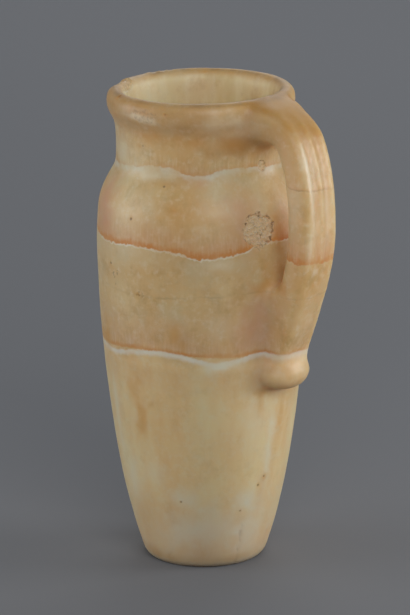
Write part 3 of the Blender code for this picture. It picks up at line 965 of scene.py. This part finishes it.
for shade, mask, bed, raggedness, tear, uneven, (start, full, fades, gone), (most, least) in VEINS:
    middle = 0.5 * (raggedness + tear)
    bent = add_node("Math", {"operation": "MULTIPLY_ADD"}, {
        0: pattern["ragged"], 1: raggedness, 2: stored[bed]})
    torn = add_node("Math", {"operation": "MULTIPLY_ADD"}, {0: pattern["torn"], 1: tear, 2: bent})
    upper = add_node("Math", {"operation": "MULTIPLY_ADD"}, {0: feathered, 1: FEATHER * uneven, 2: torn})
    rising = add_node("MapRange", {"interpolation_type": "SMOOTHSTEP"}, {
        "Value": torn, "From Min": start + middle, "From Max": full + middle})
    nothing, all_of_it = (edge + middle + FEATHER * uneven for edge in (gone, fades))
    falling = add_node("MapRange", {}, {"Value": upper, "From Min": nothing, "From Max": all_of_it})
    strength = add_node("MapRange", {}, {
        "Value": pattern["cloudlets"], "From Min": VEIN_CLOUDS[0], "From Max": VEIN_CLOUDS[1],
        "To Min": least, "To Max": most})
    amount = stored[mask]
    for share in (rising, falling, strength):
        amount = add_node("Math", {"operation": "MULTIPLY"}, {0: amount, 1: share})
    skin_colour = add_node("Mix", {"data_type": "RGBA"}, {0: amount, 6: skin_colour, 7: shade}, 2)
print("veins painted:", len(VEINS))

# %% [markdown]
# ### What lies over the veins
#
# Milky clouds and stains cross the veins, so their coats come later; they also hold painted
# highlights along the handle's ribs and painted shade under the rim, beside the handle and under
# the roll. The bed of a spall is fresh crumbly stone, pale with dark holes, and its edge is painted
# dark. Dust and grime come last, and the grime coat also holds the painted shade under the roll.

# %% Clouds, stains, painted shade and highlights, broken stone, grime and the foot
# Rows as for the ground
SURFACE = [
    # Pale clouds, and painted highlights along the handle's ribs
    (MILK, "milky_and_highlights", None, 0.0, 1.0, 1.0),
    # Iron stains, with painted shade under the rim, beside the handle and under the roll
    (OCHRE, "stain_and_shade", None, 0.0, 1.0, 1.0),
    (BROKEN_STONE, "broken", None, 0.0, 1.0, 0.90),
    (BROKEN_HOLES, "broken", "torn", 0.44, 0.26, 0.90),
    # A painted dark edge round each spall
    (BROKEN_HOLES, "broken_edge", "torn", 0.60, 0.40, 0.75),
    # Grime, with the painted shade under the roll
    (UMBER, "grime_and_shade", "patches", 0.72, 0.46, 0.95),
    (FOOT_DUST, "dust", None, 0.0, 1.0, 1.0),
]
skin_colour = add_coats(skin_colour, SURFACE)
print("coats over the veins:", len(SURFACE))

# %% [markdown]
# ### Surface of the stone
#
# Under a glass the surface shows fine scratches and grains. They are far below a millimetre high, so
# a bump is enough for them, and the mottling makes the gloss uneven. Broken stone is coarse and dull.
# Red light goes deepest into the stone and blue light least, which makes its shadows warm.

# %% Shader
CALCITE_IOR = 1.57
SCATTER_SHARE = 0.80
SCATTER_DEPTH = 17 * MM
DEPTH_BY_COLOUR = (1.0, 0.82, 0.64)
POLISHED = (0.36, 0.52)
BROKEN_ROUGHNESS = 0.85
FIBRE_RELIEF = 0.5
CRUMB_RELIEF = 12.0
BUMP_HEIGHT = 0.14 * MM
BUMP_STRENGTH = 0.30

crumbs = add_node("Math", {"operation": "MULTIPLY"}, {0: pattern["torn"], 1: stored["broken"]})
upright = add_node("Math", {"operation": "MULTIPLY_ADD"}, {
    0: pattern["fibres"], 1: FIBRE_RELIEF, 2: pattern["grains"]})
relief = add_node("Math", {"operation": "MULTIPLY_ADD"}, {0: crumbs, 1: CRUMB_RELIEF, 2: upright})
bump = add_node("Bump", {}, {"Height": relief, "Strength": BUMP_STRENGTH, "Distance": BUMP_HEIGHT})
polish = add_node("MapRange", {}, {"Value": pattern["mottle"], "From Min": 0.3, "From Max": 0.7,
                                   "To Min": POLISHED[0], "To Max": POLISHED[1]})
gloss = add_node("Mix", {}, {0: stored["broken"], 2: polish, 3: BROKEN_ROUGHNESS})
skin = add_node("BsdfPrincipled", {}, {
    "Base Color": skin_colour, "Roughness": gloss, "Normal": bump, "IOR": CALCITE_IOR,
    "Subsurface Weight": SCATTER_SHARE, "Subsurface Radius": DEPTH_BY_COLOUR,
    "Subsurface Scale": SCATTER_DEPTH})
add_node("OutputMaterial", {}, {"Surface": skin}, None)

vessel.data.materials.clear()
vessel.data.materials.append(stone)
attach(vessel, "root")
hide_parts("pitcher")
print("finish:", stone.name, "with", len(tree.nodes), "nodes")

# %% [markdown]
# ## The floor
#
# A sheet of pale grey paper that runs far back, as in a studio. It is dull and even, so it shows
# only light and shadow, and it is part of the stage, not of the object.

# %% Floor
PAPER = colour("#7B7C7F")
PAPER_ROUGHNESS = 0.9
FLOOR_HALF_SIZE = 30.0
bm = bmesh.new()
bmesh.ops.create_grid(bm, x_segments=8, y_segments=8, size=FLOOR_HALF_SIZE)
floor = new_object("studio_floor", bm)
paper = bpy.data.materials.new("pale_backdrop_paper")
paper.use_nodes = True
paper.node_tree.nodes["Principled BSDF"].inputs["Base Color"].default_value = PAPER
paper.node_tree.nodes["Principled BSDF"].inputs["Roughness"].default_value = PAPER_ROUGHNESS
floor.data.materials.append(paper)
print("floor:", 2 * FLOOR_HALF_SIZE, "m across")

# %% [markdown]
# ## Soft light
#
# Large soft lights, as for museum photographs of stone. One on each side brightens the edges, a
# broad one in front keeps the middle calm, and one behind lets light into the mouth and the gap
# behind the handle. The last one faces down and lights the far floor. A weak bluish light from all
# round stands for the room's walls.

# %% Lights
CAMERA_AZIMUTH = 39.5
CAMERA_PITCH = 15.61
MIDDLE = Vector((0.0, 0.0, 126.84 * MM))


def direction(azimuth, elevation):
    """From the object towards a place round it; azimuth 0 is in front of it, at -Y."""
    turn, rise = math.radians(azimuth), math.radians(elevation)
    return Vector((math.sin(turn) * math.cos(rise), -math.cos(turn) * math.cos(rise), math.sin(rise)))


def add_softbox(name, aside, elevation, distance, size, watts):
    """Large soft light, placed by its angle aside from the camera, and aimed at the jug."""
    light = bpy.data.lights.new(name, "AREA")
    light.shape = "RECTANGLE"
    light.size, light.size_y = size
    light.energy = watts
    lamp = bpy.data.objects.new(name, light)
    towards = direction(CAMERA_AZIMUTH + aside, elevation)
    lamp.location = MIDDLE + towards * distance
    lamp.rotation_euler = towards.to_track_quat("Z", "Y").to_euler()
    bpy.context.scene.collection.objects.link(lamp)
    return lamp


# Each row: degrees aside from the camera, elevation, distance (m), width and height (m), watts
SOFTBOXES = {
    "left_softbox": (-88, 9, 1.4, (0.9, 0.55), 6.1),
    "right_softbox": (90, 10, 1.4, (0.7, 0.55), 8.2),
    "front_softbox": (14, 30, 1.6, (1.0, 0.9), 8.5),
    "rear_softbox": (165, 38, 1.5, (1.0, 0.8), 3),
    "backdrop_softbox": (180, 24, 2.0, (1.6, 0.5), 4.5),
}
lamps = {name: add_softbox(name, *row) for name, row in SOFTBOXES.items()}
lamps["backdrop_softbox"].rotation_euler = (0.0, 0.0, math.radians(CAMERA_AZIMUTH))

AIR = colour("#BCC4CE")
AIR_STRENGTH = 0.36
world = bpy.data.worlds.new("studio_air")
world.use_nodes = True
world.node_tree.nodes["Background"].inputs["Color"].default_value = AIR
world.node_tree.nodes["Background"].inputs["Strength"].default_value = AIR_STRENGTH
bpy.context.scene.world = world
bpy.context.scene.view_settings.view_transform = "Standard"
print("lights:", len(lamps), "soft lights of", sum(row[-1] for row in SOFTBOXES.values()), "watts in all")

# %% [markdown]
# ## Camera
#
# The camera stands two metres away and a little above the jug, with a long lens, so that the jug is
# seen almost without perspective. The lens is given as a focal length in pixels of the picture's
# longer side, which is how a camera is fitted to a picture.

# %% Camera
CAMERA_DISTANCE = 2.0
FRAME_SIDE = 36.0
FRAME_PIXELS = 615
FOCAL_PIXELS = 4017.8
CAMERA_ROLL = 0.552
AIM_ASIDE = 0.96 * MM

camera_data = bpy.data.cameras.new("camera")
camera_data.sensor_width = FRAME_SIDE
camera_data.lens = FOCAL_PIXELS * FRAME_SIDE / FRAME_PIXELS
camera = bpy.data.objects.new("camera", camera_data)
towards = direction(CAMERA_AZIMUTH, CAMERA_PITCH)
aside = Vector((math.cos(math.radians(CAMERA_AZIMUTH)), math.sin(math.radians(CAMERA_AZIMUTH)), 0.0))
roll_turn = Matrix.Rotation(math.radians(-CAMERA_ROLL), 4, "Z")
turn = towards.to_track_quat("Z", "Y").to_matrix().to_4x4() @ roll_turn
camera.matrix_world = Matrix.Translation(MIDDLE + aside * AIM_ASIDE + towards * CAMERA_DISTANCE) @ turn
bpy.context.scene.collection.objects.link(camera)
bpy.context.scene.camera = camera
print("camera", round(camera_data.lens), "mm lens at", CAMERA_DISTANCE, "m")
